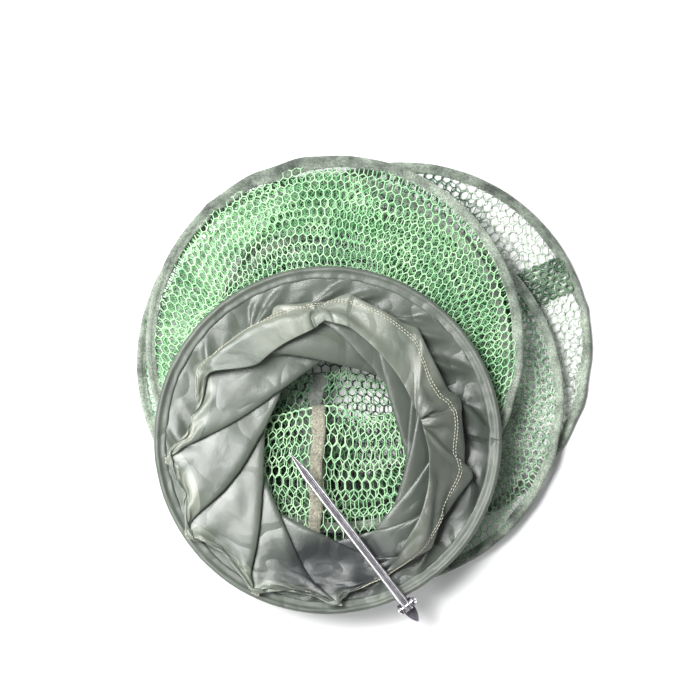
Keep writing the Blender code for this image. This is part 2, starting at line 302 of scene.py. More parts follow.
def nylon(name, shade, light, gloss, painted_shades=()):
    """Coated nylon: satin, creased, with a faint ripstop weave, darker where shade is painted into its
    colour.
    """
    made = Finish(name, 0.36)
    made.shader.inputs["Sheen Weight"].default_value = 0.10
    made.shader.inputs["Specular IOR Level"].default_value = 0.62
    flat = made.flat_place()
    worn = made.noise(14.0, 4.0, 0.6, flat)
    on_cuff = made.maths("GREATER_THAN", made.part(flat, "Y"), SLEEVE_LENGTH)
    cloth = made.ramp(worn, ((0.35, shade), (0.65, light)))
    # The cuff is a lighter, warmer copy of the cloth: partly its own tone, partly a painted highlight where
    # its top faces the window.
    cuff = made.ramp(worn, ((0.35, tuple(1.6 * part for part in shade)), (0.65, (0.235, 0.250, 0.205))))
    made.colour(made.shade_painted(made.mix(on_cuff, cloth, cuff), painted_shades))
    made.roughness(made.spread(made.noise(40.0, 3.0, 0.6, flat), *gloss))
    weave = made.maths("ADD", made.wave(700.0, "X", 0.4, flat), made.wave(700.0, "Y", 0.4, flat))
    crinkle = made.maths("MULTIPLY", made.noise(48.0, 3.0, 0.5, flat), 2.2)
    crease = made.maths("ABSOLUTE", made.maths("SUBTRACT", made.noise(22.0, 1.0, 0.5, flat), 0.5), 0.0)
    sharp = made.maths("MULTIPLY", made.maths("MINIMUM", crease, 0.10), 22.0)
    folds = made.maths("ADD", crinkle, sharp)
    made.bump(made.maths("ADD", folds, made.maths("MULTIPLY", weave, 0.06)), 0.5, 0.0006)
    return made.material


def stitching(name):
    """Twisted sewing thread."""
    made = Finish(name, 0.7)
    twist = made.wave(1500.0, "DIAGONAL", 2.0)
    made.colour(made.ramp(twist, ((0.2, (0.36, 0.36, 0.27)), (0.8, (0.66, 0.64, 0.52)))))
    return made.material


def bright_metal(name, dark, light, low, high, brushing):
    """Plated steel: drawn streaks, small dents and duller patches."""
    made = Finish(name, low, 1.0)
    streaks = made.noise(1.0, 5.0, 0.7, made.stretched(brushing))
    patches = made.noise(90.0, 4.0, 0.6)
    made.colour(made.ramp(made.mix(0.5, streaks, patches), ((0.35, dark), (0.65, light))))
    made.roughness(made.spread(patches, low, high))
    made.bump(made.mix(0.4, streaks, patches), 0.25, 0.0004)
    return made.material


# ---- mesh helpers

def add_object(name, data):
    """New object in the scene."""
    added = bpy.data.objects.new(name, data)
    bpy.context.scene.collection.objects.link(added)
    return added


def add_piece(name, points, faces, finish, body=None, replaced=()):
    """Mesh piece that rides on a body, if one is given, and stands for CAD nodes."""
    mesh = bpy.data.meshes.new(name)
    mesh.from_pydata([tuple(point) for point in points], [], [tuple(face) for face in faces])
    mesh.validate()
    mesh.shade_smooth()
    mesh.materials.append(finish)
    piece = add_object(name, mesh)
    if body:
        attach(piece, body)
    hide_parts(*replaced)
    return piece


def grid_faces(rows, columns, rows_close, columns_close):
    """Quads of a grid of points, row after row, that may close on itself both ways."""
    faces = []
    for i in range(rows if rows_close else rows - 1):
        j = (i + 1) % rows
        for k in range(columns if columns_close else columns - 1):
            m = (k + 1) % columns
            faces.append((i * columns + k, i * columns + m, j * columns + m, j * columns + k))
    return faces


def even_blend(piece, share, final):
    """Blends a piece over the slide between two hoops. Each point follows the upper hoop by its share.
    For the blend the points lie on a line, where its smooth step gives those shares."""
    line = np.zeros_like(final)
    line[:, 2] = 0.5 - np.sin(np.arcsin(np.clip(1.0 - 2.0 * share, -1.0, 1.0)) / 3.0)
    piece.data.vertices.foreach_set("co", line.astype(np.float32).ravel())
    piece.data.update()
    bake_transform(piece)
    piece.data.vertices.foreach_set("co", final.astype(np.float32).ravel())
    piece.data.update()


def store_flat_place(mesh, places):
    """Keeps for each point its place on the flat cloth."""
    attribute = mesh.attributes.new("flat_place", "FLOAT_VECTOR", "POINT")
    attribute.data.foreach_set("vector", np.asarray(places, np.float32).ravel())


# ---- tape and hem

def folded_section(lip, bulge):
    """Outline of tape folded round a wire, as (outward, height) from the upper lip to the lower one."""
    upper = [(-lip, 0.0005), (-0.78 * lip, 0.0009), (-0.55 * lip, 0.0009)]
    upper += [(-0.0030, 0.0012), (-0.0019, 0.0022), (-0.0006, bulge)]
    upper += [(0.0010, 0.98 * bulge), (0.0023, 0.0020), (0.0030, 0.0008)]
    return upper + [(outward, -height) for outward, height in reversed(upper)]


def make_tape(level, finish):
    """Binding tape of one hoop. Its lips wave, stray in width and pucker at a twist of the tape."""
    centre, radius = HOOPS[level]
    seed = LEVELS.index(level)
    section = folded_section(TAPE_LIP, 0.0029)
    rings = 360
    points = []
    for i in range(rings):
        angle = TURN * i / rings
        wave = wobble(angle, seed + 0.5, 9, 26)
        pucker = math.exp(-((away(angle, 132.5 + 40.0 * (seed - 3)) / 0.035) ** 2))
        # On the upper hoop the tape's lip is widened about bearing 112 degrees: partly the tape's own width
        # there, partly a dark band that stands for shade on the netting beside it.
        wide = 0.75 * math.exp(-((away(angle, 112.0) / 0.40) ** 2)) if level == "upper" else 0.0
        width = 1.0 + 0.12 * wobble(angle, seed, 5, 18) - 0.45 * pucker + wide
        rim = 0.0004 * wobble(angle, seed + 2.0, 12, 30) + 0.0012 * pucker
        for outward, height in section:
            lip = min(1.0, max(0.0, -outward / TAPE_LIP))
            reach = radius + outward * (width if outward < 0.0 else 1.0) + rim
            z = centre.z + height + 0.0010 * wave * lip
            x = centre.x + reach * math.cos(angle)
            y = centre.y + reach * math.sin(angle)
            points.append((x, y, max(z, ABOVE_FLOOR)))
    faces = grid_faces(rings, len(section), True, True)
    return add_piece(f"{level}_tape", points, faces, finish, BODY[level],
                     (f"{level}_hoop_binding",))


def make_hem(finish):
    """Hem of the sleeve round the mouth wire, gathered into small pleats."""
    centre, radius = HOOPS["mouth"]
    section = folded_section(HEM_LIP, 0.0031)
    rings = 720
    points = []
    flat = []
    for i in range(rings):
        angle = TURN * i / rings
        pleat = 0.25 * ripple(angle, radius, 0.007, 1.0) + 0.7 * ripple(angle, radius, 0.022, 2.0)
        width = 1.0 + 0.12 * ripple(angle, radius, 0.012, 3.0)
        slant = 0.020 * ripple(angle, radius, 0.030, 4.0)
        for k, (outward, height) in enumerate(section):
            lip = min(1.0, max(0.0, -outward / HEM_LIP))
            reach = radius + outward * (width if outward < 0.0 else 1.0) + 0.0003 * pleat
            turned = angle + slant * lip
            z = centre.z + height + ((0.0007 + 0.0016 * pleat) * (0.35 + lip) if height > 0.0 else 0.0)
            points.append((centre.x + reach * math.cos(turned), centre.y + reach * math.sin(turned), z))
            flat.append((radius * angle, 0.0022 * k, 0.0))
    faces = grid_faces(rings, len(section), True, True)
    piece = add_piece("mouth_hem", points, faces, finish, BODY["mouth"], ("mouth_hoop_hem",))
    store_flat_place(piece.data, flat)
    return piece


# ---- netting

def honeycomb(columns, rows, closed):
    """Corners of a honeycomb, in half cells across and quarter cells along, and the corners of each cell."""
    around = ((0, -2), (1, -1), (1, 1), (0, 2), (-1, 1), (-1, -1))
    numbers = {}
    cells = []
    for row in range(rows):
        for column in range(columns):
            x = 2 * column + row % 2
            y = 3 * row + 2
            cell = []
            for dx, dy in around:
                key = ((x + dx) % (2 * columns) if closed else x + dx, y + dy)
                cell.append(numbers.setdefault(key, len(numbers)))
            cells.append(cell)
    return np.array(list(numbers), float), np.array(cells)


def thread_mesh(corners, cells, radius):
    """Threads along every cell edge: bars of diamond section that share their corners, as one closed skin.
    Returns the points, the faces and, for each point, the honeycomb corner that it belongs to."""
    count = len(corners)
    middles = corners[cells].mean(axis=1)
    first, third, fifth = (corners[cells[:, k]] for k in (0, 2, 4))
    facing = np.cross(third - first, fifth - first)
    normals = np.zeros_like(corners)
    for k in range(6):
        np.add.at(normals, cells[:, k], facing)
    normals = unit(normals)
    inward = middles[:, None, :] - corners[cells]
    length = np.linalg.norm(inward, axis=2, keepdims=True)
    inset = corners[cells] + inward / length * np.minimum(radius * 1.15, 0.35 * length)

    following = np.roll(cells, -1, axis=1)
    edges = np.sort(np.stack((cells, following), axis=2).reshape(-1, 2), axis=1)
    codes = edges[:, 0] * count + edges[:, 1]
    kinds, uses = np.unique(codes, return_counts=True)
    single = np.isin(codes, kinds[uses == 1]).reshape(cells.shape)
    rim = np.unique(np.concatenate((cells[single], following[single])))
    rim_place = np.full(count, -1)
    rim_place[rim] = np.arange(len(rim))
    outward = np.zeros_like(corners)
    for k in range(6):
        np.add.at(outward, cells[:, k], -inward[:, k] / length[:, k])
    outset = corners[rim] + unit(outward[rim]) * radius

    above, below = corners + normals * radius, corners - normals * radius
    points = np.concatenate((above, below, inset.reshape(-1, 3), outset))
    owner = np.concatenate((np.arange(count), np.arange(count), cells.reshape(-1), rim))
    numbers = 2 * count + np.arange(cells.size).reshape(cells.shape)
    after = np.roll(numbers, -1, axis=1)
    upper = np.stack((cells, following, after, numbers), axis=2).reshape(-1, 4)
    lower = np.stack((following + count, cells + count, numbers, after), axis=2).reshape(-1, 4)
    a, b = cells[single], following[single]
    out_a = 2 * count + cells.size + rim_place[a]
    out_b = 2 * count + cells.size + rim_place[b]
    rim_upper = np.stack((b, a, out_a, out_b), axis=1)
    rim_lower = np.stack((a + count, b + count, out_b, out_a), axis=1)
    return points, np.concatenate((upper, lower, rim_upper, rim_lower)), owner


class Bay:
    """One bay of wall netting, folded inward between two hoops.
    tip gives where the middle of the wall is pushed, and double the share that is folded twice over."""

    def __init__(self, level, above, tip, double, warp):
        self.level, self.above = level, above
        self.low, self.low_radius = HOOPS[level]
        self.high, self.high_radius = HOOPS[above]
        self.tip, self.double, self.warp = tip, double, warp
        self.seed = LEVELS.index(above)

    def fold(self, around, along):
        """Places of net points given by their share of the way round and of the way up the wall."""
        angle = TURN * around
        outward = np.stack((np.cos(angle), np.sin(angle), np.zeros_like(angle)), axis=1)
        low = np.array(self.low) + outward * (self.low_radius - NET_EDGE_INSIDE_WIRE)
        high = np.array(self.high) + outward * (self.high_radius - NET_EDGE_INSIDE_WIRE)
        share = along[:, None]
        base = low * (1.0 - share) + high * share
        double = self.double(angle)
        once = there_and_back(along) ** 1.2
        twice = 0.55 * there_and_back((2.0 * along) % 1.0) ** 1.1
        bulge = (1.0 - double) * once + double * twice
        placed = base + self.tip(angle, (low + high) / 2.0, outward) * bulge[:, None]
        loose = np.sin(math.pi * along)[:, None] ** 2
        flat = (1.0, 1.0, 0.0)
        for size, warp, seed in ((0.060, self.warp, self.seed), (0.018, 0.3 * self.warp, self.seed + 3)):
            placed += crumple(placed * (1.0, 1.0, 4.0), size, warp, seed) * flat * loose
        lift = crumple(placed * (1.0, 1.0, 2.0), 0.045, 0.010, self.seed + 7)[:, 2:3]
        placed[:, 2:3] += lift * loose
        placed[:, 2] = np.clip(placed[:, 2], self.low.z - 0.0020, self.high.z - 0.0022)
        return placed


def make_bay(bay, finish):
    """Hexagonal netting of one bay, every thread modelled."""
    columns = round(TURN * bay.low_radius / CELL_WIDTH)
    rows = round(BAY_LENGTH / (CELL_WIDTH * 0.75 * 2.0 / math.sqrt(3.0)))
    grid, cells = honeycomb(columns, rows, closed=True)
    around = grid[:, 0] / (2.0 * columns)
    along = grid[:, 1] / grid[:, 1].max()
    points, faces, owner = thread_mesh(bay.fold(around, along), cells, THREAD_RADIUS)
    piece = add_piece(f"{bay.above}_net", points, faces, finish,
                      replaced=(f"{bay.above}_net_bay",))
    even_blend(piece, along[owner], points)
    return piece


def make_seam(bay, finish):
    """Tape sewn over the seam of one bay, on the inner face of the netting, which follows its folds."""
    rows, across = 120, 5
    share = np.linspace(0.0, 1.0, rows)
    seam = SEAM_BEARING / 360.0
    nudge = SEAM_WIDTH / 2.0 / (TURN * bay.low_radius)
    middle = bay.fold(np.full(rows, seam), share)
    sideways = bay.fold(np.full(rows, seam + nudge), share) - bay.fold(np.full(rows, seam - nudge), share)
    sideways[:, 2] = 0.0
    sideways = unit(sideways)
    facing = unit(np.cross(sideways, np.gradient(middle, axis=0)))
    facing *= np.sign(facing[-10, 2])
    ragged = 1.0 + 0.08 * np.sin(37.0 * share) + 0.05 * np.sin(91.0 * share)
    points = []
    for height, order in ((THREAD_RADIUS + SEAM_THICKNESS, 1.0), (THREAD_RADIUS, -1.0)):
        for side in np.linspace(-order, order, across):
            half = side * SEAM_WIDTH / 2.0
            points.append(middle + facing * height + sideways * (ragged * half)[:, None])
    points = np.stack(points, axis=1).reshape(-1, 3)
    faces = grid_faces(rows, 2 * across, False, True)
    faces.append(tuple(range(2 * across)))
    faces.append(tuple(reversed(range((rows - 1) * 2 * across, rows * 2 * across))))
    piece = add_piece(f"{bay.above}_seam", points, faces, finish,
                      replaced=(f"{bay.above}_seam_tape",))
    even_blend(piece, np.repeat(share, 2 * across), points)
    return piece


def flat_patch(inside):
    """Flat honeycomb of the cells whose middles pass a test, about the origin."""
    columns = rows = round(0.40 / CELL_WIDTH)
    grid, cells = honeycomb(columns, rows, closed=False)
    across, along = grid[:, 0] * CELL_WIDTH / 2.0, grid[:, 1] * CELL_WIDTH / math.sqrt(12.0)
    flat = np.stack((across, along, 0.0 * across), axis=1)
    flat -= flat.mean(axis=0)
    middles = flat[cells].mean(axis=1)
    cells = cells[inside(middles[:, 0], middles[:, 1])]
    used, fresh = np.unique(cells, return_inverse=True)
    return flat[used], fresh.reshape(cells.shape)


def make_bottom_net(finish):
    """One layer of netting across the bottom hoop."""
    centre, radius = HOOPS["bottom"]
    edge = radius - NET_EDGE_INSIDE_WIRE
    corners, cells = flat_patch(lambda x, y: np.hypot(x, y) < edge)
    corners += crumple(corners, 0.06, 0.008, 21.0) * (1.0, 1.0, 0.0)
    corners[:, 2] = 0.0016 + crumple(corners, 0.03, 0.0012, 22.0)[:, 2]
    corners[:, :2] += np.array(centre)[:2]
    points, faces, _ = thread_mesh(corners, cells, THREAD_RADIUS)
    return add_piece("bottom_netting", points, faces, finish, BODY["bottom"],
                     ("bottom_net",))


def make_net_overlap(finish):
    """Strip where two widths of the bottom netting overlap, as flat layers stacked one above another."""
    centre, radius = HOOPS["bottom"]
    turn = math.radians(OVERLAP_BEARING)
    outer = radius - NET_EDGE_INSIDE_WIRE

    def inside(x, y):
        y = OVERLAP_SQUEEZE * y
        return (np.abs(y) < OVERLAP_WIDTH / 2.0) & (x > OVERLAP_START) & (np.hypot(x, y) < outer)

    for layer in range(OVERLAP_LAYERS):
        corners, cells = flat_patch(inside)
        corners *= (1.0, OVERLAP_SQUEEZE, 1.0)
        corners += crumple(corners, 0.02, 0.004, 25.0 + layer) * (1.0, 1.0, 0.0)
        corners[:, 2] = 0.0024 + 0.0008 * layer
        x, y = corners[:, 0].copy(), corners[:, 1].copy()
        corners[:, 0] = centre.x + x * math.cos(turn) - y * math.sin(turn)
        corners[:, 1] = centre.y + x * math.sin(turn) + y * math.cos(turn)
        points, faces, _ = thread_mesh(corners, cells, THREAD_RADIUS)
        add_piece(f"bottom_overlap_{layer + 1}", points, faces, finish, BODY["bottom"])


# ---- sleeve

class Sleeve:
    """The nylon sleeve: its flat shape, the simulation that gathers it, and the final mesh."""

    scale = 5.0
    turn_frames = 40
    drop_frames = 16
    rest_frames = 20
    lift = 0.011
    upper_radius = 0.147
    lower_radius = 0.163
    pins = (20, 52, 80, 112, 150, 185, 214, 245, 275, 318, 350)
    knot_bearing = 18.0
    tuft_bearing = 97.0

    # How settle fits the simulated sleeve to the mouth hoop and the spike
    mouth_shift = (0.0105, -0.0090)
    mouth_stretch = 0.33
    mouth_fade = 0.085
    room_at_foot = 0.0065
    spike_slope = 0.087
    spike_clear = 0.009
    spike_fade = 0.018
    hem_rows = 4.0
    hem_edge = 0.0010
    hem_slope = 0.0070
    hollow = (0.006, -0.116)
    hollow_size = (0.045, 0.024)
    hollow_depth = 0.8

    def __init__(self):
        self.centre, radius = HOOPS["mouth"]
        self.edge = radius - SLEEVE_EDGE_INSIDE_WIRE
        self.rows = SLEEVE_ROWS + CUFF_ROWS + 1
        self.angles = TURN * np.arange(SLEEVE_COLUMNS) / SLEEVE_COLUMNS

    def showing(self, angle):
        """How much of the cuff shows at an angle of the untwisted sleeve: 0 is tucked, 1 falls inward."""
        return smooth((np.cos(angle + SLEEVE_TWIST - CUFF_FACING) + 0.55) / 0.5)

    def ring(self, angle):
        """Radius of the sleeve at the fold where the cuff starts."""
        shows = self.showing(angle)
        return (self.upper_radius * shows + self.lower_radius * (1.0 - shows)
                + 0.004 * wobble(angle, 5.0, 3, 6))

    def start(self):
        """Points of the upright, untwisted tube, row after row."""
        rows = []
        angle = self.angles
        shows = self.showing(angle)
        slack_side = angle + SLEEVE_TWIST / 2.0 - math.radians(100.0)
        slack = 0.018 * wobble(angle, 0.0, 3, 9) + 0.012 * np.cos(slack_side)
        gathers = 0.0015 * np.sin(29.0 * angle + 2.0 * np.sin(3.0 * angle))
        cuff = CUFF_WIDTH * shows + CUFF_TUCKED * (1.0 - shows)
        lean = 0.97 * CUFF_WIDTH * shows
        for row in range(self.rows):
            share = min(1.0, row / SLEEVE_ROWS)
            beyond = max(0.0, (row - SLEEVE_ROWS) / CUFF_ROWS)
            taper = self.edge * (1.0 - share) + self.ring(angle) * share
            radius = taper + slack * math.sin(math.pi * share) + gathers * (1.0 - share) ** 3 - lean * beyond
            height = SLEEVE_LENGTH * share + np.sqrt(np.maximum(cuff ** 2 - lean ** 2, 0.0)) * beyond
            rows.append(np.stack((radius * np.cos(angle), radius * np.sin(angle), height), axis=1))
        return np.concatenate(rows)

    def numbers(self, bearing, half_width, rows):
        """Numbers of the points of some rows that end up about a bearing, once the sleeve is turned."""
        near = np.abs(away(self.angles + SLEEVE_TWIST, bearing)) < math.radians(half_width)
        return [row * SLEEVE_COLUMNS + int(i) for row in rows for i in np.flatnonzero(near)]

    def cloth(self, points):
        """The tube as a mesh object, five times life size, which suits the solver."""
        mesh = bpy.data.meshes.new("sleeve_cloth")
        faces = grid_faces(self.rows, SLEEVE_COLUMNS, False, True)
        mesh.from_pydata([tuple(point * self.scale) for point in points], [], faces)
        return add_object("sleeve_cloth", mesh)

    def handle(self, cloth, numbers, centre):
        """Empty that moves some points of the cloth, which are pinned to it."""
        empty = add_object("handle", None)
        empty.location = centre
        bpy.context.view_layer.update()
        group = cloth.vertex_groups.new(name="held")
        group.add(numbers, 1.0, "REPLACE")
        hook = cloth.modifiers.new("hook", "HOOK")
        hook.object = empty
        hook.vertex_group = group.name
        hook.matrix_inverse = empty.matrix_world.inverted()
        return empty

    def gather(self, cloth, points, numbers, share):
        """Draws some points together, to a share of their spread, while the sleeve turns."""
        empty = self.handle(cloth, numbers, Vector(points[numbers].mean(axis=0)) * self.scale)
        for at, size in ((1, 1.0), (self.turn_frames, share)):
            empty.scale = (size, size, size)
            empty.keyframe_insert("scale", frame=at)
        return empty

    def turn(self, cloth):
        """Turns the top of the sleeve, lowering it so that the tube stays just taut, then lays it down."""
        count = len(cloth.data.vertices)
        numbers = list(range(SLEEVE_ROWS * SLEEVE_COLUMNS, count))
        empty = self.handle(cloth, numbers, (0.0, 0.0, SLEEVE_LENGTH * self.scale))
        across = (self.upper_radius + self.lower_radius) / 2.0
        for at in range(1, self.turn_frames + self.drop_frames + 1):
            turned = min(1.0, (at - 1) / (self.turn_frames - 1))
            dropped = max(0.0, (at - self.turn_frames) / self.drop_frames)
            angle = SLEEVE_TWIST * turned
            chord = self.edge ** 2 + across ** 2 - 2.0 * self.edge * across * math.cos(angle)
            height = math.sqrt(max((0.995 * SLEEVE_LENGTH) ** 2 - chord, self.lift ** 2))
            height += (self.lift - height) * dropped
            width = 1.0 - 0.06 * dropped
            empty.rotation_euler = (0.0, 0.0, angle)
            empty.location = Vector((-0.003 * turned, -0.006 * turned, height)) * self.scale
            empty.scale = (width, width, 1.0)
            for path in ("location", "rotation_euler", "scale"):
                empty.keyframe_insert(path, frame=at)
        return empty

    def plate(self, height, heights=()):
        """Plane that the cloth can't pass, which may move through (frame, height) pairs."""
        bpy.ops.mesh.primitive_plane_add(size=self.scale, location=(0.0, 0.0, height * self.scale))
        plate = bpy.context.object
        plate.modifiers.new("stop", "COLLISION")
        plate.collision.thickness_outer = 0.001 * self.scale
        for at, value in heights:
            plate.location.z = value * self.scale
            plate.keyframe_insert("location", frame=at)
        return plate

    def add_solver(self, cloth, last):
        """Cloth modifier for thin coated nylon."""
        solver = cloth.modifiers.new("cloth", "CLOTH")
        fabric = solver.settings
        fabric.quality = 6
        fabric.mass = 0.15
        fabric.air_damping = 2.0
        fabric.tension_stiffness = fabric.compression_stiffness = 50.0
        fabric.tension_damping = fabric.compression_damping = fabric.shear_damping = 8.0
        fabric.shear_stiffness = 25.0
        fabric.bending_stiffness = 30.0
        fabric.vertex_group_mass = "pinned"
        solver.collision_settings.distance_min = 0.001 * self.scale
        solver.collision_settings.use_self_collision = True
        solver.collision_settings.self_distance_min = 0.0015 * self.scale
        solver.collision_settings.self_friction = 4.0
        solver.collision_settings.collision_quality = 4
        solver.point_cache.frame_start = 1
        solver.point_cache.frame_end = last

    def simulate(self, points):
        """Points of the sleeve once it is turned, gathered at the knot and the tuft, and pressed down."""
        scene = bpy.context.scene
        cloth = self.cloth(points)
        knot = self.numbers(self.knot_bearing, 22.0, (self.rows - 1,))
        tuft = self.numbers(self.tuft_bearing, 7.0, (SLEEVE_ROWS + 3, SLEEVE_ROWS + 4))
        held = list(range(SLEEVE_COLUMNS)) + knot + tuft
        for bearing in self.pins:
            held += self.numbers(bearing, 2.5, (SLEEVE_ROWS,))[:2]
        cloth.vertex_groups.new(name="pinned").add(held, 1.0, "REPLACE")
        helpers = [self.gather(cloth, points, tuft, 0.25), self.gather(cloth, points, knot, 0.2)]
        helpers.append(self.turn(cloth))
        laid = self.turn_frames + self.drop_frames
        last = laid + self.rest_frames
        helpers.append(self.plate(-0.004))
        helpers.append(self.plate(0.4, ((self.turn_frames - 4, 0.24), (laid, 0.062), (laid + 12, 0.032))))
        for helper in helpers:
            if helper.animation_data:
                for curve in helper.animation_data.action.fcurves:
                    for key in curve.keyframe_points:
                        key.interpolation = "LINEAR"
        self.add_solver(cloth, last)
        scene.frame_start, scene.frame_end = 1, last
        for at in range(1, last + 1):
            scene.frame_set(at)
        shape = cloth.evaluated_get(bpy.context.evaluated_depsgraph_get()).to_mesh()
        gathered = np.array([vertex.co for vertex in shape.vertices]) / self.scale
        for item in helpers + [cloth]:
            bpy.data.objects.remove(item, do_unlink=True)
        scene.frame_set(1)
        return gathered

    def settle(self, points):
        """Puts the gathered sleeve on the mouth hoop, low enough for the box and lower under the spike. Its
        mouth is moved and stretched, its rim is flat, and a hollow is pressed in below the mouth."""
        low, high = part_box("spike_blade")
        foot = Vector((high[0], low[1], 0.0))
        tip = Vector((low[0], high[1], 0.0))
        placed = points.copy()
        placed[:, 2] = SLEEVE_HEIGHT * np.tanh(points[:, 2] / SLEEVE_HEIGHT)
        row = np.arange(len(points)) // SLEEVE_COLUMNS
        under = smooth(1.0 - row / self.hem_rows)
        from_edge = self.edge - np.hypot(points[:, 0], points[:, 1])
        inner = smooth(from_edge / self.mouth_fade)
        placed[:, 0] += self.mouth_shift[0] * inner
        placed[:, 1] += (self.mouth_shift[1] + self.mouth_stretch * points[:, 1]) * inner
        placed[:, :2] += np.array(self.centre)[:2]
        along = np.array(tip - foot)[:2] / (tip - foot).length
        offset = placed[:, :2] - np.array(foot)[:2]
        reach = offset @ along
        beside = np.abs(offset[:, 0] * along[1] - offset[:, 1] * along[0])
        room = self.room_at_foot + self.spike_slope * np.clip(reach, 0.0, None)
        press = np.minimum(1.0, room / SLEEVE_HEIGHT)
        near = 1.0 - smooth((beside - self.spike_clear) / self.spike_fade)
        placed[:, 2] *= 1.0 - near * (1.0 - press)
        placed[:, 2] *= smooth((from_edge - self.hem_edge) / self.hem_slope) * under + 1.0 - under
        hollow = np.exp(-((placed[:, 0] - self.centre.x - self.hollow[0]) / self.hollow_size[0]) ** 2
                        - ((placed[:, 1] - self.centre.y - self.hollow[1]) / self.hollow_size[1]) ** 2)
        placed[:, 2] *= 1.0 - self.hollow_depth * hollow
        placed[:, 2] += self.centre.z + SLEEVE_LIFT
        return placed

    def flat_places(self):
        """Place of each point on the flat cloth."""
        row, column = np.divmod(np.arange(self.rows * SLEEVE_COLUMNS), SLEEVE_COLUMNS)
        pitch = (SLEEVE_LENGTH + CUFF_WIDTH) / (self.rows - 1)
        return np.stack((column * TURN * self.edge / SLEEVE_COLUMNS, row * pitch, 0.0 * row), axis=1)

    def make(self, finish):
        """The sleeve itself, on the mouth hoop."""
        points = self.start()
        points = self.simulate(points)
        points = self.settle(points)
        piece = add_piece("sleeve", points, grid_faces(self.rows, SLEEVE_COLUMNS, False, True), finish,
                          replaced=("mouth_sleeve",))
        store_flat_place(piece.data, self.flat_places())
        thicken = piece.modifiers.new("thicken", "SOLIDIFY")
        thicken.thickness = FABRIC
        thicken.offset = 0.0
        smoother = piece.modifiers.new("smooth", "SUBSURF")
        smoother.levels = smoother.render_levels = 1
        shape = bpy.data.meshes.new_from_object(piece.evaluated_get(bpy.context.evaluated_depsgraph_get()))
        piece.modifiers.clear()
        piece.data = shape
        shape.shade_smooth()
        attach(piece, BODY["mouth"])
        return points

    def make_stitches(self, points, finish):
        """Double row of stitches round the cuff, on the outer face of the cloth."""
        grid = points.reshape(self.rows, SLEEVE_COLUMNS, 3)
        verts = []
        faces = []
        for row in (SLEEVE_ROWS + 2.0, SLEEVE_ROWS + 2.45):
            part = row % 1.0
            row = int(row)
            line = grid[row] * (1.0 - part) + grid[row + 1] * part
            ahead = np.roll(line, -1, axis=0)
            up_the_cloth = grid[row + 1] - grid[row]
            facing = unit(np.cross(ahead - line, up_the_cloth))
            distance = np.concatenate(([0.0], np.cumsum(np.linalg.norm(ahead - line, axis=1))))
            closed = np.concatenate((line, line[:1]))
            facings = np.concatenate((facing, facing[:1]))
            for start in np.arange(0.0, distance[-1] - 0.003, 0.0034):
                self.add_stitch(verts, faces, distance, closed, facings, start)
        return add_piece("cuff_stitching", verts, faces, finish, BODY["mouth"])

    def add_stitch(self, verts, faces, distance, line, facings, start):
        """One stitch, a short thread that dips into the cloth at both ends."""
        steps, sides = 5, 6
        first = len(verts)
        for i in range(steps):
            share = i / (steps - 1)
            at = start + 0.0024 * share
            middle = np.array([np.interp(at, distance, line[:, k]) for k in range(3)])
            ahead = np.array([np.interp(at + 0.0005, distance, line[:, k]) for k in range(3)]) - middle
            normal = np.array([np.interp(at, distance, facings[:, k]) for k in range(3)])
            side = unit(np.cross(ahead, normal))
            middle = middle + normal * (0.0003 + 0.0005 * math.sin(math.pi * share))
            for k in range(sides):
                angle = TURN * k / sides
                verts.append(middle + 0.00036 * (math.cos(angle) * side + math.sin(angle) * normal))
        for face in grid_faces(steps, sides, False, True):
            faces.append(tuple(first + number for number in face))
        faces.append(tuple(first + k for k in reversed(range(sides))))
        faces.append(tuple(first + (steps - 1) * sides + k for k in range(sides)))


# ---- spike

def spike_section():
    """Half-width shares and heights of the spike's section: a broad ridge, a groove and a thin rim."""
    ridge = ((-0.98, -0.0024), (-1.00, 0.0002), (-0.92, 0.0013), (-0.72, 0.0021), (-0.46, 0.0024))
    groove = ((-0.24, 0.0019), (-0.14, 0.0006), (0.00, 0.0001), (0.30, 0.0002), (0.50, 0.0009))
    rim = ((0.58, 0.0021), (0.74, 0.0024), (0.92, 0.0018), (1.00, 0.0006), (0.98, -0.0024))
    underside = ((0.50, -0.0027), (-0.50, -0.0027))
    return ridge + groove + rim + underside


def make_spike(finish):
    """Rolled steel spike, from its heel round the hinge bolt to its point."""
    joint = next(joint for joint in frame["joints"] if joint["name"] == "spike_hinge")
    pivot = Vector(joint["pos_m"])
    axis = Vector(joint["axis"])
    low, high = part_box("spike_blade")
    heading = Vector((0.0, 0.0, 1.0)).cross(axis).normalized()
    level = (Vector((low[0], high[1], 0.0)) - Vector((pivot.x, pivot.y, 0.0))).dot(heading)
    tip = pivot + heading * level + Vector((0.0, 0.0, high[2] - 0.0020 - pivot.z))
    forward = (tip - pivot).normalized()
    upward = axis.cross(forward)
    if upward.z < 0.0:
        upward = -upward
    side = forward.cross(upward)
    reach = (tip - pivot).length - 0.0010
    half_width = 0.0046
    heel = 0.0050
    section = spike_section()
    points = []
    flat = []
    stations = [-heel * math.cos(math.pi / 2.0 * k / 6) for k in range(6)]
    stations += list(np.linspace(0.0, reach - 0.030, 24)) + list(np.linspace(reach - 0.028, reach, 16))
    for at in stations:
        taper = float(np.clip((reach - at) / 0.027, 0.02, 1.0)) ** 0.8
        heel_round = math.sqrt(max(0.05, 1.0 - (max(0.0, -at) / (heel + 0.0003)) ** 2))
        slim = 0.88 + 0.12 * min(1.0, max(0.0, at) / 0.12)
        for across, height in section:
            rise = height * heel_round * (0.30 + 0.70 * taper)
            points.append(pivot + forward * at + side * (across * half_width * taper * slim) + upward * rise)
            flat.append((across, at, height))
    count = len(section)
    faces = grid_faces(len(stations), count, False, True)
    faces.append(tuple(reversed(range(count))))
    faces.append(tuple(range((len(stations) - 1) * count, len(stations) * count)))
    piece = add_piece("spike", points, faces, finish, BODY_OF_SPIKE, ("spike_blade",))
    store_flat_place(piece.data, flat)
    return piece


